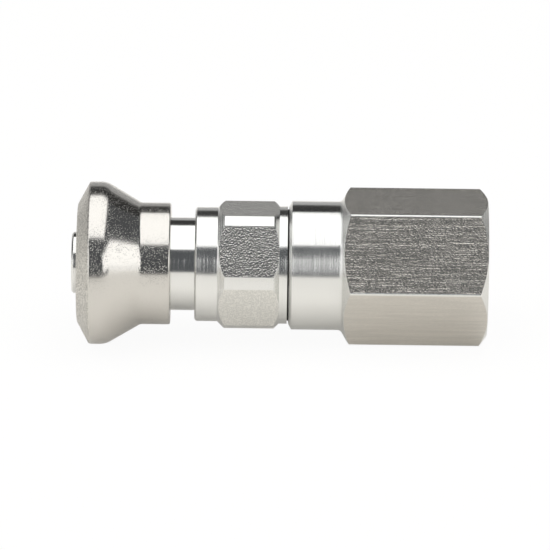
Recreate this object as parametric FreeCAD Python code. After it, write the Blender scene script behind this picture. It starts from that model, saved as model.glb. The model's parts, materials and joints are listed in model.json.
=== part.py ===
import FreeCAD, Part
import math
import os

from FreeCAD import Placement, Rotation, Vector

# Socket half of a quick coupling: flared release sleeve, ball lock, check valve and pipe-thread end.
# The axis is X. The thread mouth is at the origin and the plug goes in at the far -X end.
# One flat of the large hex faces down. Lengths are in millimetres and angles in degrees.

# End adapter, outside
ADAPTER_HEX_ACROSS_FLATS = 27.0
ADAPTER_HEX_LENGTH = 28.2
ADAPTER_HEX_CORNER_ROUND = 0.5
ADAPTER_HEX_FRONT_INSET = 0.5
ADAPTER_HEX_FRONT_BEVEL = 30.0
ADAPTER_HEX_REAR_INSET = 0.1
ADAPTER_HEX_REAR_BEVEL = 36.0
ADAPTER_BARREL_RADIUS = 12.55
ADAPTER_BARREL_LENGTH = 10.45
ADAPTER_BARREL_CHAMFER = 0.6
ADAPTER_ROOT_ROUND = 1.0

# End adapter, inside
THREAD_RADIUS = 10.48
THREAD_LENGTH = 15.0
THREAD_MOUTH_CHAMFER = 0.4
ADAPTER_BORE_RADIUS = 6.5

# Joint between body and adapter
SPIGOT_RADIUS = 8.95
SPIGOT_LENGTH = 8.7
SPIGOT_CLEARANCE = 0.05
JOINT_GROOVE_WIDTH = 0.28
JOINT_GROOVE_DEPTH = 0.6
BODY_SEAL_THICKNESS = 1.0

# Coupling body, outside
REAR_COLLAR_RADIUS = 11.45
REAR_COLLAR_LENGTH = 1.85
BODY_HEX_ACROSS_FLATS = 22.8
BODY_HEX_TURNED_RADIUS = 12.5
BODY_HEX_LENGTH = 12.0
BODY_HEX_BEVEL = 45.0
BODY_HEX_CLOCKING = -3.3
FRONT_COLLAR_RADIUS = 11.12
FRONT_COLLAR_LENGTH = 4.4
FRONT_COLLAR_CHAMFER = 0.35
NECK_RADIUS = 9.04
NECK_LENGTH = 7.65
NOSE_RADIUS = 6.0
NOSE_LENGTH = 16.35
NOSE_CHAMFER = 0.35

# Coupling body, inside
PLUG_BORE_RADIUS = 4.5
PLUG_BORE_END = 1.3
LEAD_BORE_STEP = 0.2
LEAD_BORE_DEPTH = 4.6
LEAD_MOUTH_CHAMFER = 0.5
VALVE_HOLE_RADIUS = 3.4
VALVE_HOLE_LENGTH = 1.5
SEAT_DEPTH = 1.8
CHAMBER_RADIUS = 6.3

# Seal on the plug
PLUG_SEAL_SETBACK = 1.0
PLUG_SEAL_WIDTH = 2.0
PLUG_SEAL_HEIGHT = 1.8
PLUG_SEAL_TAPER = 0.4
PLUG_SEAL_SQUEEZE = 0.25
BACKUP_RING_THICKNESS = 1.2

# Ball lock
BALL_COUNT = 8
BALL_RADIUS = 1.25
BALL_STATION = 6.5
BALL_STANDOFF = 0.07
BALL_SEAT_HALF_ANGLE = 10.0
RELEASE_CLEARANCE = 0.07

# Release sleeve
SLEEVE_SETBACK = 1.05
SLEEVE_TRAVEL = 4.5
SLEEVE_END_CLEARANCE = 0.25
SLEEVE_FACE_RADIUS = 11.4
SLEEVE_BEVEL_DEPTH = 2.4
SLEEVE_RIM_RADIUS = 15.84
SLEEVE_RIM_WIDTH = 3.25
SLEEVE_RIM_ROUND = 4.3
SLEEVE_CONE_HALF_ANGLE = 30.5
SLEEVE_SKIRT_RADIUS = 11.86
SLEEVE_LAND_LENGTH = 1.4
SLEEVE_LAND_CLEARANCE = 0.06
SLEEVE_BORE_CLEARANCE = 0.05
SNAP_RING_STATION = 3.0
SNAP_RING_WIDTH = 1.0
SNAP_RING_GROOVE_DEPTH = 0.25
SNAP_RING_GAP_ANGLE = 24.0

# Sleeve spring
SLEEVE_SPRING_WIRE = 0.8
SLEEVE_SPRING_TURNS = 3.5

# Check valve
POPPET_NOSE_RADIUS = 2.6
POPPET_NOSE_LENGTH = 2.9
POPPET_NOSE_CHAMFER = 0.5
POPPET_SEAT_GAP = 0.15
POPPET_HEAD_RADIUS = 5.0
POPPET_HEAD_RIM = 2.2
POPPET_STEM_RADIUS = 1.75
POPPET_STEM_TAIL = 1.5
VALVE_SEAL_INSET = 0.3
VALVE_SEAL_HEIGHT = 1.1
VALVE_SPRING_WIRE = 0.9
VALVE_SPRING_TURNS = 6.5
VALVE_SPRING_PLAY = 0.3

# Valve guide
GUIDE_THICKNESS = 2.0
GUIDE_HUB_RADIUS = 3.6
GUIDE_ARM_COUNT = 3
GUIDE_ARM_WIDTH = 2.4
GUIDE_STEM_CLEARANCE = 0.05

# Small gap between pieces that meet
FIT_GAP = 0.02

# How finely the repeated small pieces are made
BALL_SIDES = 12
BALL_BANDS = 6
COIL_WIRE_SIDES = 6
COIL_STEPS_PER_TURN = 12

# Stations along the axis, worked out from the lengths above
ADAPTER_HEX_FRONT_X = -ADAPTER_HEX_LENGTH
JOINT_X = ADAPTER_HEX_FRONT_X - ADAPTER_BARREL_LENGTH
BODY_HEX_REAR_X = JOINT_X - REAR_COLLAR_LENGTH
BODY_HEX_FRONT_X = BODY_HEX_REAR_X - BODY_HEX_LENGTH
COLLAR_FRONT_X = BODY_HEX_FRONT_X - FRONT_COLLAR_LENGTH
NECK_FRONT_X = COLLAR_FRONT_X - NECK_LENGTH
NOSE_X = NECK_FRONT_X - NOSE_LENGTH
SPIGOT_END_X = JOINT_X + SPIGOT_LENGTH
GUIDE_X = SPIGOT_END_X + BODY_SEAL_THICKNESS
SOCKET_FLOOR_X = GUIDE_X + GUIDE_THICKNESS
BALL_X = NOSE_X + BALL_STATION
SLEEVE_FRONT_X = NOSE_X + SLEEVE_SETBACK
SLEEVE_REAR_X = COLLAR_FRONT_X - SLEEVE_END_CLEARANCE - SLEEVE_TRAVEL
SNAP_RING_X = NOSE_X + SNAP_RING_STATION
PLUG_GROOVE_X = NECK_FRONT_X + PLUG_SEAL_SETBACK
BACKUP_RING_X = PLUG_GROOVE_X + PLUG_SEAL_WIDTH
PLUG_GROOVE_END_X = BACKUP_RING_X + BACKUP_RING_THICKNESS
VALVE_HOLE_X = PLUG_GROOVE_END_X + PLUG_BORE_END
SEAT_X = VALVE_HOLE_X + VALVE_HOLE_LENGTH
CHAMBER_X = SEAT_X + SEAT_DEPTH
POPPET_CONE_X = SEAT_X + POPPET_SEAT_GAP - VALVE_HOLE_RADIUS
POPPET_BACK_X = POPPET_CONE_X + POPPET_HEAD_RADIUS + POPPET_HEAD_RIM

# Radii worked out: a held ball stands a little proud of the nose, and the sleeve's ramp keeps it there
BALL_HELD_RADIUS = NOSE_RADIUS + BALL_STANDOFF - BALL_RADIUS
BALL_LIFT = PLUG_BORE_RADIUS - (BALL_HELD_RADIUS - BALL_RADIUS) + RELEASE_CLEARANCE
RAMP_ANGLE = math.atan2(BALL_LIFT, SLEEVE_TRAVEL)
LEAD_BORE_RADIUS = PLUG_BORE_RADIUS + LEAD_BORE_STEP
SLEEVE_LAND_RADIUS = NOSE_RADIUS + SLEEVE_LAND_CLEARANCE
SPRING_CAVITY_RADIUS = NECK_RADIUS + SLEEVE_BORE_CLEARANCE
SNAP_GROOVE_RADIUS = NOSE_RADIUS - SNAP_RING_GROOVE_DEPTH
PLUG_SEAL_INNER = PLUG_BORE_RADIUS - PLUG_SEAL_SQUEEZE
PLUG_SEAL_OUTER = PLUG_SEAL_INNER + PLUG_SEAL_HEIGHT
VALVE_SEAL_RADIUS = VALVE_HOLE_RADIUS + VALVE_SEAL_INSET

AXIS = Vector(1, 0, 0)
UPRIGHT_TO_AXIS = Rotation(Vector(1, 1, 1), 120)
FULL_TURN = 360.0
HEX_SIDES = 6
ROUND_SHARE = 0.45


def around(degrees):
    """Unit vector across the axis, counted from +Y towards +Z."""
    turn = math.radians(degrees)
    return Vector(0, math.cos(turn), math.sin(turn))


def evenly(count):
    """Angles of a pattern round the axis."""
    return [FULL_TURN * i / count for i in range(count)]


def rounded_wire(points):
    """Closed wire through (x, y) or (x, y, round) points, with an arc at each rounded corner."""
    corners = [(Vector(p[0], p[1], 0), p[2] if len(p) > 2 else 0.0) for p in points]
    stops = []
    for i, (here, rounding) in enumerate(corners):
        to_last = corners[i - 1][0] - here
        to_next = corners[(i + 1) % len(corners)][0] - here
        half_angle = to_last.getAngle(to_next) / 2
        reach = min(rounding / math.tan(half_angle), ROUND_SHARE * min(to_last.Length, to_next.Length))
        depth = reach / math.cos(half_angle) - reach * math.tan(half_angle)
        to_last.normalize()
        to_next.normalize()
        bisector = (to_last + to_next).normalize()
        stops.append((here + to_last * reach, here + bisector * depth, here + to_next * reach, reach > 0))
    edges = []
    for i, (start, middle, end, is_round) in enumerate(stops):
        if is_round:
            edges.append(Part.Arc(start, middle, end).toShape())
        edges.append(Part.LineSegment(end, stops[(i + 1) % len(stops)][0]).toShape())
    return Part.Wire(edges)


def turned(points, sweep=FULL_TURN):
    """Solid turned about the axis from a closed outline of (x, radius) points."""
    return Part.Face(rounded_wire(points)).revolve(Vector(), AXIS, sweep)


def ring(inner, outer, x_from, x_to):
    """Plain ring on the axis."""
    return turned([(x_from, inner), (x_from, outer), (x_to, outer), (x_to, inner)])


def cylinder(radius, x_from, x_to):
    """Solid cylinder on the axis."""
    return Part.makeCylinder(radius, x_to - x_from, Vector(x_from, 0, 0), AXIS)


def hex_bar(across_flats, corner_round, x_from, x_to, clocking=0.0):
    """Hexagonal bar along the axis with one flat facing down, its long edges rounded."""
    corner = across_flats / 2 / math.cos(math.pi / HEX_SIDES)
    directions = [around(degrees) for degrees in evenly(HEX_SIDES)]
    outline = rounded_wire([(corner * d.y, corner * d.z, corner_round) for d in directions])
    bar = Part.Face(outline).extrude(Vector(0, 0, x_to - x_from))
    bar.Placement = Placement(Vector(x_from, 0, 0), UPRIGHT_TO_AXIS)
    return bar.rotate(Vector(), AXIS, clocking)


def flat_sided(rings):
    """Solid with flat sides between rings of corners."""
    outlines = [rings[0], rings[-1]]
    for low, high in zip(rings, rings[1:]):
        outlines += [[low[i - 1], low[i], high[i], high[i - 1]] for i in range(len(low))]
    shell = Part.makeShell([Part.Face(Part.makePolygon(corners + corners[:1])) for corners in outlines])
    shell.sewShape()
    return Part.makeSolid(shell)


def coil(mean_radius, wire, turns, x_from, x_to):
    """Compression spring of short straight lengths mitred round a helix, with its ends ground flat."""
    steps = round(turns * COIL_STEPS_PER_TURN)
    stops = []
    for i in range(steps + 1):
        along = x_from + (x_to - x_from) * i / steps
        stops.append(AXIS * along + around(FULL_TURN * turns * i / steps) * mean_radius)
    runs = [(after - before).normalize() for before, after in zip(stops, stops[1:])]
    reach = around(0) * (wire / 2)
    corners = [stops[0] + Rotation(runs[0], degrees).multVec(reach) for degrees in evenly(COIL_WIRE_SIDES)]
    rings = [corners]
    for stop, run, next_run in zip(stops[1:], runs, runs[1:] + runs[-1:]):
        mitre = run + next_run
        corners = [corner + run * ((stop - corner).dot(mitre) / run.dot(mitre)) for corner in corners]
        rings.append(corners)
    return flat_sided(rings).common(cylinder(mean_radius + wire, x_from, x_to))


def ramp_radius(x):
    """Radius of the sleeve's locking ramp, which is parallel to the way a ball moves and just clears it."""
    reach = BALL_RADIUS + FIT_GAP - (x - BALL_X) * math.sin(RAMP_ANGLE)
    return BALL_HELD_RADIUS + reach / math.cos(RAMP_ANGLE)


def land_station():
    """Where along the axis the locking ramp meets the sleeve's land."""
    reach = BALL_RADIUS + FIT_GAP - (SLEEVE_LAND_RADIUS - BALL_HELD_RADIUS) * math.cos(RAMP_ANGLE)
    return BALL_X + reach / math.sin(RAMP_ANGLE)


def spring_seat_station():
    """Rear face of the sleeve's land, where its spring pushes."""
    return land_station() + SLEEVE_LAND_LENGTH


def end_adapter():
    """Polished barrel and large hex, with the body's socket in front and the pipe thread's bore behind."""
    return adapter_outside().cut(adapter_hollow())


def adapter_outside():
    """The adapter's hex bar, turned down to the barrel in front and bevelled at its ends."""
    half_flats = ADAPTER_HEX_ACROSS_FLATS / 2
    corner = half_flats / math.cos(math.pi / HEX_SIDES)
    front_slope = math.tan(math.radians(ADAPTER_HEX_FRONT_BEVEL))
    rear_slope = math.tan(math.radians(ADAPTER_HEX_REAR_BEVEL))
    front_face = half_flats - ADAPTER_HEX_FRONT_INSET
    rear_face = half_flats - ADAPTER_HEX_REAR_INSET
    root = ADAPTER_HEX_FRONT_X - (front_face - ADAPTER_BARREL_RADIUS) * front_slope
    outline = turned([
        (JOINT_X, 0),
        (JOINT_X, REAR_COLLAR_RADIUS),
        (JOINT_X + ADAPTER_BARREL_CHAMFER, ADAPTER_BARREL_RADIUS),
        (root, ADAPTER_BARREL_RADIUS, ADAPTER_ROOT_ROUND),
        (ADAPTER_HEX_FRONT_X + (corner - front_face) * front_slope, corner),
        ((rear_face - corner) * rear_slope, corner),
        (0, rear_face),
        (0, 0),
    ])
    return hex_bar(ADAPTER_HEX_ACROSS_FLATS, ADAPTER_HEX_CORNER_ROUND, JOINT_X, 0).common(outline)


def adapter_hollow():
    """Space inside the adapter: the spigot's socket, a plain bore and the pipe thread's bore."""
    socket = SPIGOT_RADIUS + SPIGOT_CLEARANCE
    thread_end = -THREAD_MOUTH_CHAMFER - THREAD_LENGTH
    return turned([
        (JOINT_X, 0),
        (JOINT_X, socket),
        (SOCKET_FLOOR_X, socket),
        (SOCKET_FLOOR_X, ADAPTER_BORE_RADIUS),
        (thread_end, ADAPTER_BORE_RADIUS),
        (thread_end, THREAD_RADIUS),
        (-THREAD_MOUTH_CHAMFER, THREAD_RADIUS),
        (0, THREAD_RADIUS + THREAD_MOUTH_CHAMFER),
        (0, 0),
    ])


def body_hex():
    """The body's hex, with its corners turned off and its ends bevelled down to the collars."""
    bevel = math.tan(math.radians(BODY_HEX_BEVEL))
    front_bevel = (BODY_HEX_TURNED_RADIUS - FRONT_COLLAR_RADIUS) * bevel
    rear_bevel = (BODY_HEX_TURNED_RADIUS - REAR_COLLAR_RADIUS) * bevel
    bevels = turned([
        (BODY_HEX_FRONT_X, 0),
        (BODY_HEX_FRONT_X, FRONT_COLLAR_RADIUS),
        (BODY_HEX_FRONT_X + front_bevel, BODY_HEX_TURNED_RADIUS),
        (BODY_HEX_REAR_X - rear_bevel, BODY_HEX_TURNED_RADIUS),
        (BODY_HEX_REAR_X, REAR_COLLAR_RADIUS),
        (BODY_HEX_REAR_X, 0),
    ])
    bar = hex_bar(BODY_HEX_ACROSS_FLATS, 0, BODY_HEX_FRONT_X, BODY_HEX_REAR_X, BODY_HEX_CLOCKING)
    return bar.common(bevels)


def body_front():
    """Nose with the snap ring's groove, neck and front collar, still solid."""
    return turned([
        (NOSE_X, 0),
        (NOSE_X, NOSE_RADIUS - NOSE_CHAMFER),
        (NOSE_X + NOSE_CHAMFER, NOSE_RADIUS),
        (SNAP_RING_X, NOSE_RADIUS),
        (SNAP_RING_X, SNAP_GROOVE_RADIUS),
        (SNAP_RING_X + SNAP_RING_WIDTH, SNAP_GROOVE_RADIUS),
        (SNAP_RING_X + SNAP_RING_WIDTH, NOSE_RADIUS),
        (NECK_FRONT_X, NOSE_RADIUS),
        (NECK_FRONT_X, NECK_RADIUS),
        (COLLAR_FRONT_X, NECK_RADIUS),
        (COLLAR_FRONT_X, FRONT_COLLAR_RADIUS - FRONT_COLLAR_CHAMFER),
        (COLLAR_FRONT_X + FRONT_COLLAR_CHAMFER, FRONT_COLLAR_RADIUS),
        (BODY_HEX_FRONT_X, FRONT_COLLAR_RADIUS),
        (BODY_HEX_FRONT_X, 0),
    ])


def body_rear():
    """Rear collar, joint groove and spigot, still solid."""
    groove = REAR_COLLAR_RADIUS - JOINT_GROOVE_DEPTH
    return turned([
        (BODY_HEX_REAR_X, 0),
        (BODY_HEX_REAR_X, REAR_COLLAR_RADIUS),
        (JOINT_X - JOINT_GROOVE_WIDTH, REAR_COLLAR_RADIUS),
        (JOINT_X - JOINT_GROOVE_WIDTH, groove),
        (JOINT_X, groove),
        (JOINT_X, SPIGOT_RADIUS),
        (SPIGOT_END_X, SPIGOT_RADIUS),
        (SPIGOT_END_X, 0),
    ])


def body_hollow():
    """Space inside the body: lead-in, plug bore with its seal groove, valve seat and chamber."""
    return turned([
        (NOSE_X, 0),
        (NOSE_X, LEAD_BORE_RADIUS + LEAD_MOUTH_CHAMFER),
        (NOSE_X + LEAD_MOUTH_CHAMFER, LEAD_BORE_RADIUS),
        (NOSE_X + LEAD_BORE_DEPTH, LEAD_BORE_RADIUS),
        (NOSE_X + LEAD_BORE_DEPTH, PLUG_BORE_RADIUS),
        (PLUG_GROOVE_X, PLUG_BORE_RADIUS),
        (PLUG_GROOVE_X, PLUG_SEAL_OUTER + FIT_GAP),
        (PLUG_GROOVE_END_X, PLUG_SEAL_OUTER + FIT_GAP),
        (PLUG_GROOVE_END_X, PLUG_BORE_RADIUS),
        (VALVE_HOLE_X, PLUG_BORE_RADIUS),
        (VALVE_HOLE_X, VALVE_HOLE_RADIUS),
        (SEAT_X, VALVE_HOLE_RADIUS),
        (CHAMBER_X, VALVE_HOLE_RADIUS + SEAT_DEPTH),
        (CHAMBER_X, CHAMBER_RADIUS),
        (SPIGOT_END_X, CHAMBER_RADIUS),
        (SPIGOT_END_X, 0),
    ])


def ball_pocket(degrees):
    """Tapered pocket of one ball, narrower at the bore, so that the ball can't fall in."""
    outward = around(degrees)
    slope = math.radians(BALL_SEAT_HALF_ANGLE)
    apex = BALL_HELD_RADIUS - (BALL_RADIUS + FIT_GAP) / math.sin(slope)
    low = PLUG_BORE_RADIUS - BALL_RADIUS
    high = NOSE_RADIUS + BALL_RADIUS
    foot = Vector(BALL_X, 0, 0) + outward * low
    low_radius = (low - apex) * math.tan(slope)
    high_radius = (high - apex) * math.tan(slope)
    return Part.makeCone(low_radius, high_radius, high - low, foot, outward)


def coupling_body():
    """The body: one turned piece with its hex, its bores and the balls' pockets."""
    blank = body_front().fuse([body_hex(), body_rear()]).removeSplitter()
    return blank.cut([body_hollow()] + [ball_pocket(degrees) for degrees in evenly(BALL_COUNT)])


def locking_ball(degrees):
    """One ball, held in by the sleeve. It repeats, so it has flat sides."""
    rings = []
    for latitude in evenly(BALL_BANDS * 2)[:BALL_BANDS]:
        outward = math.radians(latitude + FULL_TURN / BALL_BANDS / 4)
        centre = AXIS * (-BALL_RADIUS * math.cos(outward))
        reach = BALL_RADIUS * math.sin(outward)
        rings.append([centre + around(angle) * reach for angle in evenly(BALL_SIDES)])
    return flat_sided(rings).translate(Vector(BALL_X, 0, 0) + around(degrees) * BALL_HELD_RADIUS)


def release_sleeve():
    """Flared sleeve with its locking ramp, land and spring cavity."""
    rim_front = SLEEVE_FRONT_X + SLEEVE_BEVEL_DEPTH
    rim_rear = rim_front + SLEEVE_RIM_WIDTH
    cone = (SLEEVE_RIM_RADIUS - SLEEVE_SKIRT_RADIUS) / math.tan(math.radians(SLEEVE_CONE_HALF_ANGLE))
    return turned([
        (SLEEVE_FRONT_X, ramp_radius(SLEEVE_FRONT_X)),
        (SLEEVE_FRONT_X, SLEEVE_FACE_RADIUS),
        (rim_front, SLEEVE_RIM_RADIUS),
        (rim_rear, SLEEVE_RIM_RADIUS, SLEEVE_RIM_ROUND),
        (rim_rear + cone, SLEEVE_SKIRT_RADIUS),
        (SLEEVE_REAR_X, SLEEVE_SKIRT_RADIUS),
        (SLEEVE_REAR_X, SPRING_CAVITY_RADIUS),
        (spring_seat_station(), SPRING_CAVITY_RADIUS),
        (spring_seat_station(), SLEEVE_LAND_RADIUS),
        (land_station(), SLEEVE_LAND_RADIUS),
    ])


def snap_ring():
    """Open ring in the nose's groove, bevelled like the ramp, which it stops."""
    rear = SNAP_RING_X + SNAP_RING_WIDTH
    inner = SNAP_GROOVE_RADIUS + FIT_GAP
    bevelled = turned([
        (SNAP_RING_X, inner),
        (SNAP_RING_X, ramp_radius(SNAP_RING_X) - FIT_GAP),
        (rear, ramp_radius(rear) - FIT_GAP),
        (rear, inner),
    ], FULL_TURN - SNAP_RING_GAP_ANGLE)
    return bevelled.rotate(Vector(), AXIS, SNAP_RING_GAP_ANGLE / 2)


def sleeve_spring():
    """Spring between the sleeve's land and the neck's shoulder."""
    mean_radius = (NOSE_RADIUS + SPRING_CAVITY_RADIUS) / 2
    return coil(mean_radius, SLEEVE_SPRING_WIRE, SLEEVE_SPRING_TURNS,
                spring_seat_station() + FIT_GAP, NECK_FRONT_X - FIT_GAP)


def plug_seal():
    """Tapered ring that seals on the plug."""
    return turned([
        (PLUG_GROOVE_X, PLUG_SEAL_OUTER),
        (PLUG_GROOVE_X + PLUG_SEAL_TAPER, PLUG_SEAL_INNER),
        (BACKUP_RING_X - PLUG_SEAL_TAPER, PLUG_SEAL_INNER),
        (BACKUP_RING_X, PLUG_SEAL_OUTER),
    ])


def plug_backup_ring():
    """Stiff flat ring that backs the plug's seal."""
    return ring(PLUG_BORE_RADIUS, PLUG_SEAL_OUTER, BACKUP_RING_X, PLUG_GROOVE_END_X)


def body_seal():
    """Flat ring between the spigot's end and the valve guide."""
    return ring(CHAMBER_RADIUS, SPIGOT_RADIUS, SPIGOT_END_X, GUIDE_X)


def valve_seal_stations():
    """Front and rear of the poppet's wedge-shaped seal, which just clears the valve seat."""
    front = SEAT_X + VALVE_SEAL_INSET + FIT_GAP * math.sqrt(2)
    return front, front + VALVE_SEAL_HEIGHT


def valve_poppet():
    """Poppet with a nose for the plug, a cone with a step for its seal, and a guided stem."""
    nose_base = POPPET_CONE_X + POPPET_NOSE_RADIUS
    nose_front = nose_base - POPPET_NOSE_LENGTH
    seal_rear = valve_seal_stations()[1]
    tail = SOCKET_FLOOR_X + POPPET_STEM_TAIL
    return turned([
        (nose_front, 0),
        (nose_front, POPPET_NOSE_RADIUS - POPPET_NOSE_CHAMFER),
        (nose_front + POPPET_NOSE_CHAMFER, POPPET_NOSE_RADIUS),
        (nose_base, POPPET_NOSE_RADIUS),
        (POPPET_CONE_X + VALVE_SEAL_RADIUS, VALVE_SEAL_RADIUS),
        (seal_rear, VALVE_SEAL_RADIUS),
        (seal_rear, seal_rear - POPPET_CONE_X),
        (POPPET_CONE_X + POPPET_HEAD_RADIUS, POPPET_HEAD_RADIUS),
        (POPPET_BACK_X, POPPET_HEAD_RADIUS),
        (POPPET_BACK_X, POPPET_STEM_RADIUS),
        (tail, POPPET_STEM_RADIUS),
        (tail, 0),
    ])


def valve_seal():
    """Wedge-shaped ring in the poppet's step."""
    front, rear = valve_seal_stations()
    return turned([
        (front + FIT_GAP, VALVE_SEAL_RADIUS + FIT_GAP),
        (rear, VALVE_SEAL_RADIUS + VALVE_SEAL_HEIGHT),
        (rear, VALVE_SEAL_RADIUS + FIT_GAP),
    ])


def valve_spring():
    """Spring round the stem, between the poppet's head and the guide's hub."""
    mean_radius = POPPET_STEM_RADIUS + VALVE_SPRING_PLAY + VALVE_SPRING_WIRE / 2
    return coil(mean_radius, VALVE_SPRING_WIRE, VALVE_SPRING_TURNS,
                POPPET_BACK_X + FIT_GAP, GUIDE_X - FIT_GAP)


def valve_guide():
    """Spider clamped between the body's seal and the socket's floor: rim, arms and hub."""
    rim = ring(CHAMBER_RADIUS, SPIGOT_RADIUS, GUIDE_X, SOCKET_FLOOR_X)
    hub = cylinder(GUIDE_HUB_RADIUS, GUIDE_X, SOCKET_FLOOR_X)
    arm_reach = (CHAMBER_RADIUS + SPIGOT_RADIUS) / 2
    arm_corner = Vector(GUIDE_X, 0, -GUIDE_ARM_WIDTH / 2)
    arm = Part.makeBox(GUIDE_THICKNESS, arm_reach, GUIDE_ARM_WIDTH, arm_corner)
    arms = [arm.copy().rotate(Vector(), AXIS, degrees) for degrees in evenly(GUIDE_ARM_COUNT)]
    hole = cylinder(POPPET_STEM_RADIUS + GUIDE_STEM_CLEARANCE, GUIDE_X, SOCKET_FLOOR_X)
    return rim.fuse([hub] + arms).removeSplitter().cut(hole)


def all_parts():
    """Every piece by its node's name."""
    parts = {
        "coupling_body": coupling_body(),
        "end_adapter": end_adapter(),
        "release_sleeve": release_sleeve(),
        "snap_ring": snap_ring(),
        "sleeve_spring": sleeve_spring(),
        "plug_seal": plug_seal(),
        "plug_backup_ring": plug_backup_ring(),
        "body_seal": body_seal(),
        "valve_guide": valve_guide(),
        "valve_poppet": valve_poppet(),
        "valve_seal": valve_seal(),
        "valve_spring": valve_spring(),
    }
    for number, degrees in enumerate(evenly(BALL_COUNT), start=1):
        parts[f"locking_ball_{number}"] = locking_ball(degrees)
    return parts


os.makedirs("parts", exist_ok=True)
for name, shape in all_parts().items():
    shape.exportStep(f"parts/{name}.step")
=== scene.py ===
import json
import math
from collections import namedtuple

import bmesh
import bpy
from mathutils import Matrix, Vector


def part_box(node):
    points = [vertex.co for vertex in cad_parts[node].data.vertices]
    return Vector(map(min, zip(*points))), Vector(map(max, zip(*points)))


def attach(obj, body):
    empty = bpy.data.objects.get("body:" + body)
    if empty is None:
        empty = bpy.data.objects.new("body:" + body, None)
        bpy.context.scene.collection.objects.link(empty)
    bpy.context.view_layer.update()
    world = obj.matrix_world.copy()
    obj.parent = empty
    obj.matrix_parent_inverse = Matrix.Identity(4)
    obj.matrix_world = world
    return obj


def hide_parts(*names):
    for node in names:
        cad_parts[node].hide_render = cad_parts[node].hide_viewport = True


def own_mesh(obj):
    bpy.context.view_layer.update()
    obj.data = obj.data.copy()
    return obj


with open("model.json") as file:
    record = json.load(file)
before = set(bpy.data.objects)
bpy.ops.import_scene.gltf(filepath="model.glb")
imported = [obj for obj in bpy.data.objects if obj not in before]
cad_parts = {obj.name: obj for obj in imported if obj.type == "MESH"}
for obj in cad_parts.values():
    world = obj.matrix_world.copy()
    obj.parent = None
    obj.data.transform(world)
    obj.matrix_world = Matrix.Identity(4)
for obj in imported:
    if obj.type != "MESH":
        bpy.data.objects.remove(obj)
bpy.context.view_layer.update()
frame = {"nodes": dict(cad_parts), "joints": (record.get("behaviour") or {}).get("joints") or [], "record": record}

# Looks of a quick coupling's socket half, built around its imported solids.
# Lengths are in metres and angles in degrees. The axis is X, and the camera looks along +Y and down.

MM = 0.001
WHITE = (1.0, 1.0, 1.0, 1.0)
SHADER = "Principled BSDF"

# The photograph's view: the picture's middle lies a little below the axis, which drops to the right
VIEW_ELEVATION = 20.8
VIEW_DISTANCE = 1.28
VIEW_WIDTH = 107.25 * MM
VIEW_CENTRE_X = -41.3 * MM
VIEW_DROP = 1.98 * MM
VIEW_ROLL = 0.72

# The lamps: a softbox overhead, a fill that lights the floor, a card at each side, and a low one at the
# foot of the right card. Each has its place, the direction that it lies in from what it lights, its width
# and height, its radiance, and whether metal mirrors it.
Lamp = namedtuple("Lamp", "name place outward size radiance mirrored")
LAMPS = [
    Lamp("softbox", (-0.42, 0.09, 0.9), (0.0, 0.0, 1.0), (1.65, 1.39), 1.55, True),
    Lamp("floor_fill", (0.65, -0.2, 1.0), (0.3, 0.0, 1.0), (1.2, 1.2), 0.9, False),
    Lamp("right_card", (0.75, -0.53, 0.36), (0.79, -0.53, 0.36), (1.35, 0.50), 1.6, True),
    Lamp("right_foot", (0.90, -0.364, 0.06), (0.90, -0.364, 0.06), (0.60, 0.12), 1.3, True),
    Lamp("left_card", (-0.83, -0.53, 0.29), (-0.79, -0.53, 0.29), (1.35, 0.62), 1.2, True),
]

# The studio around it, as bands that start at an angle about the axis: 0 is the camera's side, 90 is
# above, and 180 and -180 are the far side. The blur is how far each band fades at its ends.
STUDIO_BANDS = [
    (-180.0, (0.5, 0.487, 0.46)),
    (0.0, (0.105, 0.111, 0.120)),
    (132.0, (0.045, 0.045, 0.045)),
    (160.0, (0.49, 0.49, 0.49)),
]
STUDIO_BLUR = 2.0
FULL_TURN = 360.0
RAMP_MIDDLE = 0.5

# The floor, and how much of it is plain white where the camera sees it and where metal mirrors it
FLOOR_COLOUR = (0.98, 0.955, 0.905)
FLOOR_ROUGHNESS = 0.9
FLOOR_SIZE = 6.0
FLOOR_GLOW_SEEN = 0.94
FLOOR_GLOW_MIRRORED = 0.2

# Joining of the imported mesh's points, and of its faces that lie in one plane
WELD = 0.0001 * MM
PLANE_ANGLE = 0.05

# Rounding of the pieces' edges
SLEEVE_EDGE = 0.35 * MM
BODY_EDGE = 0.14 * MM
ADAPTER_EDGE = 0.2 * MM
EDGE_ANGLE = 20.0
EDGE_SEGMENTS = 3
NORMAL_WEIGHT = 100

# Which faces have a finish of their own, or painted shade: the sleeve's front by the X part of its normal, hex
# flats by that part and their area, the neck by its reach behind the sleeve and its radius, and the faces painted
# near-black as the joint's
# shade: the groove by its distance from the joint and its radius, and the adapter's face at the joint by that
# distance alone
FRONT_NORMAL = -0.5
HEX_FLAT_NORMAL = 0.01
HEX_FLAT_AREA = 40 * MM * MM
NECK_REACH = 5 * MM
NECK_RADIUS = 9.5 * MM
GROOVE_REACH = 0.4 * MM
GROOVE_RADIUS = 11.3 * MM
JOINT_FACE_REACH = 0.02 * MM

# The pipe thread's ridges, which stand in from the bore. The crest is a share of the pitch, the run-in is
# in turns, and the least height is a share of the depth.
THREAD_PITCH = 1.814 * MM
THREAD_DEPTH = 1.16 * MM
THREAD_CREST = 0.25
THREAD_STEPS = 96
THREAD_RUN_IN = 0.5
THREAD_LEAST = 0.02

# Springs, each with its turns and its wire, and balls
SPRINGS = {"sleeve_spring": (3.5, 0.8 * MM), "valve_spring": (6.5, 0.9 * MM)}
WIRE_SIDES = 12
COIL_STEPS = 48
BALL_COUNT = 8
BALL_RINGS = 24

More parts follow.
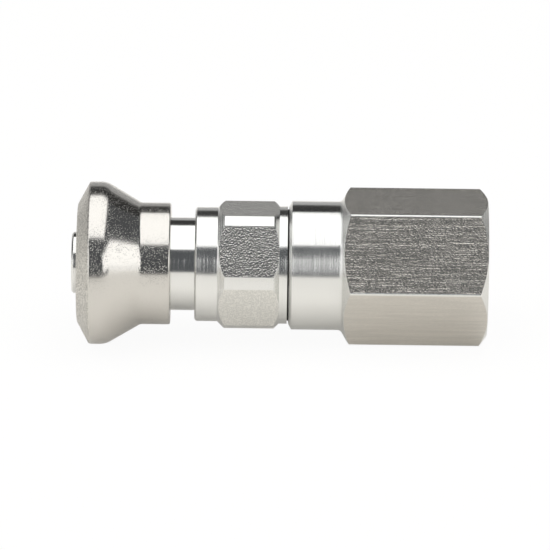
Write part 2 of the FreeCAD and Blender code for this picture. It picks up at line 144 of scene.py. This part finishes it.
# Finishes: linear colour, roughness, the share by which the texture darkens the colour, and its depth
Finish = namedtuple("Finish", "colour roughness tint relief")
TURNED_COLOUR = (0.74, 0.738, 0.715)
PLAIN_TINT = 0.12
PLAIN_RELIEF = 0.004 * MM
SOFT_TINT = 0.2
SOFT_RELIEF = 0.006 * MM
SATIN = Finish((0.60, 0.58, 0.543), 0.16, 0.14, 0.024 * MM)
TUMBLED = Finish((0.655, 0.635, 0.59), 0.38, 0.45, 0.03 * MM)
POLISHED = Finish(TURNED_COLOUR, 0.15, 0.03, 0.044 * MM)
FINE_TURNED = Finish(TURNED_COLOUR, 0.22, 0.03, 0.050 * MM)
TURNED = Finish(TURNED_COLOUR, 0.25, 0.02, 0.070 * MM)
BLASTED = Finish((0.75, 0.74, 0.70), 0.18, 0.20, 0.046 * MM)
DRAWN = Finish((0.69, 0.66, 0.605), 0.262, 0.18, 0.165 * MM)
# Not a finish of the steel: a near-black colour that paints the shade in the joint's groove and on the adapter's
# face at the joint
GROOVE_SHADE = Finish((0.05, 0.048, 0.045), 0.6, 0.3, 0.004 * MM)
SPRING = Finish((0.55, 0.54, 0.52), 0.2, PLAIN_TINT, PLAIN_RELIEF)
BALL = Finish((0.72, 0.71, 0.69), 0.06, PLAIN_TINT, PLAIN_RELIEF)
VALVE = Finish(TURNED_COLOUR, 0.16, PLAIN_TINT, PLAIN_RELIEF)
RUBBER = Finish((0.012, 0.012, 0.013), 0.5, SOFT_TINT, SOFT_RELIEF)
PLASTIC = Finish((0.80, 0.79, 0.75), 0.4, SOFT_TINT, SOFT_RELIEF)

# How far the lines of turned steel spread its reflections, and the turn that spreads them along the axis
POLISHED_LINED = 0.4
FINE_TURNED_LINED = 0.7
TURNED_LINED = 1.0
LINED_TURN = 0.25

# Grains: bumps per metre, and the factor along the axis, which squeezes them where it is above 1 and
# draws them out where it is below 1
Grain = namedtuple("Grain", "scale along")
SATIN_CELLS = Grain(3200, 1.4)
BLASTED_CELLS = Grain(2900, 1.7)
DRAWN_CELLS = Grain(3800, 0.9)
TUMBLED_NOISE = Grain(3500, 1.0)
GROOVE_NOISE = Grain(3000, 1.0)
PLAIN_NOISE = Grain(2500, 1.0)
SOFT_NOISE = Grain(1800, 1.0)
CLOUD_NOISE = Grain(300, 1.0)

# The height at which satin cells are flat on top, and the shares of the drawn bar's cells and streaks
SATIN_CELL_TOP = 0.36
DRAWN_CELL_SHARE = 0.25
DRAWN_STREAKS = [(Grain(4600, 0.04), 0.22), (Grain(1300, 0.05), 0.3)]

# Turned lines per metre, their detail, and how many times as many a face across the axis has
LINE_SCALE = 4300
LINE_DETAIL = 1.0
LINE_RADIUS_FACTOR = 1.4

# The middle range of a texture's values, and the share by which the cloud varies the roughness
TEXTURE_LOW = 0.3
TEXTURE_HIGH = 0.7
CLOUD_SHARE = 0.04


# Shader nodes

def add_node(tree, kind, inputs=None, **settings):
    """Adds a shader node, sets its properties, and fills or links its inputs."""
    made = tree.nodes.new(kind)
    for name, value in settings.items():
        setattr(made, name, value)
    for name, value in (inputs or {}).items():
        if isinstance(value, bpy.types.NodeSocket):
            tree.links.new(value, made.inputs[name])
        else:
            made.inputs[name].default_value = value
    return made


def maths(tree, operation, first, second=0.0):
    """Output of a maths node."""
    return add_node(tree, "ShaderNodeMath", {0: first, 1: second}, operation=operation).outputs[0]


def spread(tree, value, low, high):
    """A texture's middle range, stretched between two values."""
    inputs = {
        "Value": value,
        "From Min": TEXTURE_LOW,
        "From Max": TEXTURE_HIGH,
        "To Min": low,
        "To Max": high,
    }
    return add_node(tree, "ShaderNodeMapRange", inputs).outputs[0]


def object_place(tree):
    """The place on the object, in its own coordinates."""
    return add_node(tree, "ShaderNodeTexCoord").outputs["Object"]


def stretched(tree, along):
    """The place on the object, with its part along the axis multiplied by a factor."""
    factors = {0: object_place(tree), 1: (along, 1.0, 1.0)}
    return add_node(tree, "ShaderNodeVectorMath", factors, operation="MULTIPLY").outputs[0]


def noise(tree, grain):
    """Output of a noise texture."""
    inputs = {"Vector": stretched(tree, grain.along), "Scale": grain.scale, "Detail": 0.0}
    return add_node(tree, "ShaderNodeTexNoise", inputs).outputs["Fac"]


def cells(tree, grain):
    """Output of a cell texture, which rises from the middle of each cell."""
    inputs = {"Vector": stretched(tree, grain.along), "Scale": grain.scale}
    return add_node(tree, "ShaderNodeTexVoronoi", inputs).outputs["Distance"]


def turned_lines(tree):
    """Output of a noise texture that runs along a turned profile and is the same all the way round it."""
    parts = add_node(tree, "ShaderNodeSeparateXYZ", {0: object_place(tree)}).outputs
    across = add_node(tree, "ShaderNodeCombineXYZ", {"Y": parts["Y"], "Z": parts["Z"]}).outputs[0]
    radius = add_node(tree, "ShaderNodeVectorMath", {0: across}, operation="LENGTH").outputs["Value"]
    run = maths(tree, "ADD", parts["X"], maths(tree, "MULTIPLY", radius, LINE_RADIUS_FACTOR))
    place = add_node(tree, "ShaderNodeCombineXYZ", {"X": run}).outputs[0]
    inputs = {"Vector": place, "Scale": LINE_SCALE, "Detail": LINE_DETAIL}
    return add_node(tree, "ShaderNodeTexNoise", inputs).outputs["Fac"]


# Materials

def blank_material(name, colour, roughness, metallic):
    """A material with one plain shader, and its tree and shader."""
    material = bpy.data.materials.new(name)
    material.use_nodes = True
    tree = material.node_tree
    shader = tree.nodes[SHADER]
    shader.inputs["Base Color"].default_value = (*colour, 1.0)
    shader.inputs["Roughness"].default_value = roughness
    shader.inputs["Metallic"].default_value = metallic
    return material, tree, shader


def textured(name, finish, texture, metallic=1.0):
    """A material whose texture varies its colour and height, and a slow cloud its roughness."""
    material, tree, shader = blank_material(name, finish.colour, finish.roughness, metallic)
    height = texture(tree)
    dark = [c * (1 - finish.tint) for c in finish.colour]
    share = spread(tree, height, 0.0, 1.0)
    colours = {"Factor": share, "A": (*dark, 1.0), "B": (*finish.colour, 1.0)}
    mix = add_node(tree, "ShaderNodeMix", colours, data_type="RGBA")
    tree.links.new(mix.outputs["Result"], shader.inputs["Base Color"])
    relief = {"Height": height, "Strength": 1.0, "Distance": finish.relief}
    bump = add_node(tree, "ShaderNodeBump", relief)
    tree.links.new(bump.outputs["Normal"], shader.inputs["Normal"])
    smooth = finish.roughness * (1 - CLOUD_SHARE)
    rough = finish.roughness * (1 + CLOUD_SHARE)
    cloud = spread(tree, noise(tree, CLOUD_NOISE), smooth, rough)
    tree.links.new(cloud, shader.inputs["Roughness"])
    return material


def satin_steel():
    """Finely blasted and polished steel with a sparkling grain."""
    def flat_topped(tree):
        inputs = {"Value": cells(tree, SATIN_CELLS), "From Max": SATIN_CELL_TOP}
        return add_node(tree, "ShaderNodeMapRange", inputs).outputs[0]

    return textured("satin_steel", SATIN, flat_topped)


def tumbled_steel():
    """The sleeve's front, duller than the rest of it."""
    return textured("tumbled_steel", TUMBLED, lambda tree: noise(tree, TUMBLED_NOISE))


def turned_steel(name, finish, lined):
    """Turned steel, whose lines round the axis spread its reflections along the axis."""
    material = textured(name, finish, turned_lines)
    tree = material.node_tree
    shader = tree.nodes[SHADER]
    shader.inputs["Anisotropic"].default_value = lined
    shader.inputs["Anisotropic Rotation"].default_value = LINED_TURN
    tangent = add_node(tree, "ShaderNodeTangent", direction_type="RADIAL", axis="X")
    tree.links.new(tangent.outputs[0], shader.inputs["Tangent"])
    return material


def blasted_steel():
    """Steel flats with a salt-and-pepper grain."""
    return textured("blasted_steel", BLASTED, lambda tree: cells(tree, BLASTED_CELLS))


def drawn_steel():
    """Cold-drawn bar with a grain and with streaks along its length."""
    def streaked(tree):
        height = maths(tree, "MULTIPLY", cells(tree, DRAWN_CELLS), DRAWN_CELL_SHARE)
        for grain, share in DRAWN_STREAKS:
            height = maths(tree, "ADD", height, maths(tree, "MULTIPLY", noise(tree, grain), share))
        return height

    return textured("drawn_steel", DRAWN, streaked)


def groove_painted_shade():
    """Near-black steel that paints the shade falling into the joint's groove."""
    return textured("groove_painted_shade", GROOVE_SHADE, lambda tree: noise(tree, GROOVE_NOISE))


def plain_steel(name, finish):
    """Small steel pieces inside, with a faint grain."""
    return textured(name, finish, lambda tree: noise(tree, PLAIN_NOISE))


def soft_material(name, finish):
    """Rubber or plastic with a dull moulded surface."""
    return textured(name, finish, lambda tree: noise(tree, SOFT_NOISE), metallic=0.0)


# Meshes and pieces

def add_object(name, data):
    """A new object in the scene."""
    made = bpy.data.objects.new(name, data)
    bpy.context.scene.collection.objects.link(made)
    return made


def new_piece(name, mesh, body):
    """An object for a mesh in the row frame, which rides on a body."""
    piece = add_object(name, mesh)
    mesh.shade_smooth()
    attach(piece, body)
    return piece


def mesh_from(work, name):
    """A mesh of what was built, whose working copy is freed."""
    mesh = bpy.data.meshes.new(name)
    work.to_mesh(mesh)
    work.free()
    return mesh


def grid_mesh(name, rows):
    """A tube of quads through rows of points, with its ends capped."""
    count = len(rows[0])
    points = [point for row in rows for point in row]
    faces = [tuple(reversed(range(count))), tuple(range(len(points) - count, len(points)))]
    for low in range(0, len(points) - count, count):
        high = low + count
        for k in range(count):
            after = (k + 1) % count
            faces.append((low + k, low + after, high + after, high + k))
    mesh = bpy.data.meshes.new(name)
    mesh.from_pydata(points, [], faces)
    return mesh


def plain_mesh(node):
    """A copy of a node's mesh, with its points joined and its flat faces whole."""
    mesh = frame["nodes"][node].data.copy()
    mesh.materials.clear()
    work = bmesh.new()
    work.from_mesh(mesh)
    bmesh.ops.remove_doubles(work, verts=work.verts, dist=WELD)
    limit = math.radians(PLANE_ANGLE)
    bmesh.ops.dissolve_limit(work, angle_limit=limit, verts=work.verts, edges=work.edges)
    work.to_mesh(mesh)
    work.free()
    return mesh


def rounded_piece(node, body, edge):
    """A node's own form with its edges rounded, which stands for the node."""
    piece = new_piece(node + "_finished", plain_mesh(node), body)
    bevel = piece.modifiers.new("edges", "BEVEL")
    bevel.width = edge
    bevel.segments = EDGE_SEGMENTS
    bevel.limit_method = "ANGLE"
    bevel.angle_limit = math.radians(EDGE_ANGLE)
    normals = piece.modifiers.new("normals", "WEIGHTED_NORMAL")
    normals.mode = "FACE_AREA"
    normals.weight = NORMAL_WEIGHT
    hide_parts(node)
    return piece


def paint(piece, main, *others):
    """Gives a piece its main material, and others to the faces that their tests pick."""
    for material in [main] + [other for other, _ in others]:
        piece.data.materials.append(material)
    for face in piece.data.polygons:
        for number, (_, test) in enumerate(others, start=1):
            if test(face):
                face.material_index = number


def paint_nodes(material, *names):
    """Gives carried-over nodes their material."""
    for name in names:
        node = frame["nodes"][name]
        node.data.materials.clear()
        node.data.materials.append(material)


def radius_of(face):
    """Distance of a face's middle from the axis."""
    return math.hypot(face.center.y, face.center.z)


def is_hex_flat(face):
    """Whether a face is one of a hex's large flats."""
    return abs(face.normal.x) < HEX_FLAT_NORMAL and face.area > HEX_FLAT_AREA


def around(angle, radius, x):
    """A point at an angle round the axis, from +Y towards +Z."""
    return (x, radius * math.cos(angle), radius * math.sin(angle))


def spring_piece(bent, material):
    """A round-wire spring in the place of a node."""
    node = bent["node"]
    turns, wire = SPRINGS[node]
    low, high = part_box(node)
    half = wire / 2
    mean = high.y - half
    steps = round(turns * COIL_STEPS)
    first, last = low.x + half, high.x - half
    sides = [2 * math.pi * k / WIRE_SIDES for k in range(WIRE_SIDES)]
    rows = []
    for i in range(steps + 1):
        angle = 2 * math.pi * turns * i / steps
        x = first + (last - first) * i / steps
        rows.append([around(angle, mean + half * math.cos(s), x + half * math.sin(s)) for s in sides])
    piece = new_piece(node + "_wire", grid_mesh(node, rows), "body")
    piece.data.materials.append(material)
    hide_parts(node)
    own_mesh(piece)


def ball_piece(number, material):
    """A round ball in the place of a node."""
    node = f"locking_ball_{number}"
    low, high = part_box(node)
    work = bmesh.new()
    radius = (high.x - low.x) / 2
    bmesh.ops.create_uvsphere(work, u_segments=2 * BALL_RINGS, v_segments=BALL_RINGS, radius=radius)
    bmesh.ops.translate(work, verts=work.verts, vec=(low + high) / 2)
    piece = new_piece(node + "_round", mesh_from(work, node), f"ball_{number}")
    piece.data.materials.append(material)
    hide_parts(node)


def thread_piece(material):
    """Ridges of the pipe thread, wound inside the adapter's bore."""
    mount = next(m for m in frame["record"]["mounts"] if m["name"] == "pipe_thread")
    radius = mount["dims"]["r_mm"] * MM
    length = mount["dims"]["length_mm"] * MM - THREAD_PITCH
    turns = length / THREAD_PITCH
    steps = round(turns * THREAD_STEPS)
    half_pitch = THREAD_PITCH / 2
    half_crest = half_pitch * THREAD_CREST
    rows = []
    for i in range(steps + 1):
        angle = -2 * math.pi * turns * i / steps
        x = mount["pos_m"][0] - half_pitch - length * i / steps
        run_in = min(1.0, min(i, steps - i) / THREAD_STEPS / THREAD_RUN_IN)
        crest = radius - THREAD_DEPTH * max(run_in, THREAD_LEAST)
        rows.append([
            around(angle, radius, x - half_pitch),
            around(angle, crest, x - half_crest),
            around(angle, crest, x + half_crest),
            around(angle, radius, x + half_pitch),
        ])
    name = "pipe_thread_ridges"
    piece = new_piece(name, grid_mesh(name, rows), "body")
    piece.data.materials.append(material)


def make_sleeve():
    """The satin sleeve with its duller front."""
    sleeve = rounded_piece("release_sleeve", "sleeve", SLEEVE_EDGE)
    paint(sleeve, satin_steel(), (tumbled_steel(), lambda face: face.normal.x < FRONT_NORMAL))


def make_body(groove):
    """The body: polished nose and neck, turned collars, blasted hex flats, and painted shade in the joint's
    groove.
    """
    body = rounded_piece("coupling_body", "body", BODY_EDGE)
    joint_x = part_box("end_adapter")[0].x
    sleeve_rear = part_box("release_sleeve")[1].x

    def is_neck(face):
        return face.center.x < sleeve_rear + NECK_REACH and radius_of(face) < NECK_RADIUS

    def is_groove(face):
        return abs(face.center.x - joint_x) < GROOVE_REACH and radius_of(face) < GROOVE_RADIUS

    polished = turned_steel("polished_steel", POLISHED, POLISHED_LINED)
    collars = turned_steel("fine_turned_steel", FINE_TURNED, FINE_TURNED_LINED)
    # the groove's faces get the near-black painted shade
    paint(body, collars, (polished, is_neck), (blasted_steel(), is_hex_flat), (groove, is_groove))


def make_adapter(groove):
    """The end adapter: turned barrel, drawn hex flats, painted shade on its face at the joint, and the pipe
    thread.
    """
    adapter = rounded_piece("end_adapter", "body", ADAPTER_EDGE)
    joint_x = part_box("end_adapter")[0].x

    def is_joint_face(face):
        return abs(face.center.x - joint_x) < JOINT_FACE_REACH

    turned = turned_steel("turned_steel", TURNED, TURNED_LINED)
    # the adapter's face at the joint gets the groove's near-black painted shade
    paint(adapter, turned, (drawn_steel(), is_hex_flat), (groove, is_joint_face))
    thread_piece(turned)


def make_springs_and_balls():
    """Round-wire springs, the snap ring and round balls."""
    spring = plain_steel("spring_steel", SPRING)
    for joint in frame["joints"]:
        for bent in joint.get("deforming_nodes", []):
            spring_piece(bent, spring)
    paint_nodes(spring, "snap_ring")
    ball = plain_steel("ball_steel", BALL)
    for number in range(1, BALL_COUNT + 1):
        ball_piece(number, ball)


def make_pieces():
    """Every piece and its material."""
    # near-black painted shade for the joint's groove and the adapter's face at the joint
    groove = groove_painted_shade()
    make_sleeve()
    make_body(groove)
    make_adapter(groove)
    make_springs_and_balls()
    paint_nodes(plain_steel("valve_steel", VALVE), "valve_poppet", "valve_guide")
    paint_nodes(soft_material("black_rubber", RUBBER), "plug_seal", "body_seal", "valve_seal")
    paint_nodes(soft_material("white_plastic", PLASTIC), "plug_backup_ring")


# Camera, floor and light

def make_camera():
    """Camera at the photograph's angle."""
    camera = add_object("camera", bpy.data.cameras.new("camera"))
    camera.data.angle = 2 * math.atan(VIEW_WIDTH / 2 / VIEW_DISTANCE)
    tilt = math.radians(VIEW_ELEVATION)
    backward = Vector((0, -math.cos(tilt), math.sin(tilt)))
    upward = Vector((0, math.sin(tilt), math.cos(tilt)))
    target = Vector((VIEW_CENTRE_X, 0, 0)) - upward * VIEW_DROP
    turn = Matrix((Vector((1, 0, 0)), upward, backward)).transposed().to_4x4()
    roll = Matrix.Rotation(math.radians(VIEW_ROLL), 4, "Z")
    camera.matrix_world = Matrix.Translation(target + backward * VIEW_DISTANCE) @ turn @ roll
    bpy.context.scene.camera = camera


def floor_material():
    """Dull white that keeps the object's shadow, and is lifted towards plain white where it is seen."""
    material, tree, shader = blank_material("floor", FLOOR_COLOUR, FLOOR_ROUGHNESS, metallic=0.0)
    path = add_node(tree, "ShaderNodeLightPath").outputs
    mirrored = maths(tree, "MAXIMUM", path["Is Glossy Ray"], path["Is Transmission Ray"])
    seen = maths(tree, "MULTIPLY", path["Is Camera Ray"], FLOOR_GLOW_SEEN)
    share = maths(tree, "MAXIMUM", seen, maths(tree, "MULTIPLY", mirrored, FLOOR_GLOW_MIRRORED))
    white = add_node(tree, "ShaderNodeEmission", {"Color": WHITE, "Strength": 1.0})
    mix = add_node(tree, "ShaderNodeMixShader", {0: share, 1: shader.outputs[0], 2: white.outputs[0]})
    tree.links.new(mix.outputs[0], tree.nodes["Material Output"].inputs["Surface"])
    return material


def make_floor():
    """A pale floor on which the sleeve's rim and the large hex both rest."""
    sleeve_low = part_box("release_sleeve")[0]
    hex_low, hex_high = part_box("end_adapter")
    slope = math.atan2(hex_low.z - sleeve_low.z, hex_high.x - sleeve_low.x)
    work = bmesh.new()
    bmesh.ops.create_grid(work, x_segments=1, y_segments=1, size=FLOOR_SIZE / 2)
    mesh = mesh_from(work, "floor")
    mesh.materials.append(floor_material())
    floor = add_object("floor", mesh)
    foot = Vector((sleeve_low.x, 0, sleeve_low.z))
    floor.matrix_world = Matrix.Translation(foot) @ Matrix.Rotation(-slope, 4, "Y")


def make_lamps():
    """The softbox, the floor's fill and the cards."""
    for name, place, outward, size, radiance, mirrored in LAMPS:
        data = bpy.data.lights.new(name, "AREA")
        data.shape = "RECTANGLE"
        data.size, data.size_y = size
        data.energy = radiance * math.pi * size[0] * size[1]
        lamp = add_object(name, data)
        lamp.location = place
        lamp.rotation_euler = Vector(outward).to_track_quat("Z", "Y").to_euler()
        lamp.visible_glossy = mirrored


def make_studio():
    """Dim surroundings in bands along the axis."""
    world = bpy.data.worlds.new("studio")
    bpy.context.scene.world = world
    world.use_nodes = True
    tree = world.node_tree
    ray = add_node(tree, "ShaderNodeTexCoord").outputs["Generated"]
    parts = add_node(tree, "ShaderNodeSeparateXYZ", {0: ray}).outputs
    angle = maths(tree, "ARCTAN2", parts["Z"], maths(tree, "MULTIPLY", parts["Y"], -1.0))
    turn = maths(tree, "ADD", maths(tree, "DIVIDE", angle, 2 * math.pi), RAMP_MIDDLE)
    bands = add_node(tree, "ShaderNodeValToRGB", {"Fac": turn})
    blur = STUDIO_BLUR / FULL_TURN
    starts = [start / FULL_TURN + RAMP_MIDDLE for start, _ in STUDIO_BANDS]
    stops = []
    for start, end, (_, level) in zip(starts, starts[1:] + [1.0], STUDIO_BANDS):
        stops += [(start + blur, level), (end - blur, level)]
    elements = bands.color_ramp.elements
    while len(elements) < len(stops):
        elements.new(RAMP_MIDDLE)
    for element, (place, level) in zip(elements, stops):
        element.position = place
        element.color = (*level, 1.0)
    tree.links.new(bands.outputs["Color"], tree.nodes["Background"].inputs["Color"])


bpy.context.scene.view_settings.view_transform = "Standard"
make_camera()
make_floor()
make_lamps()
make_studio()
make_pieces()
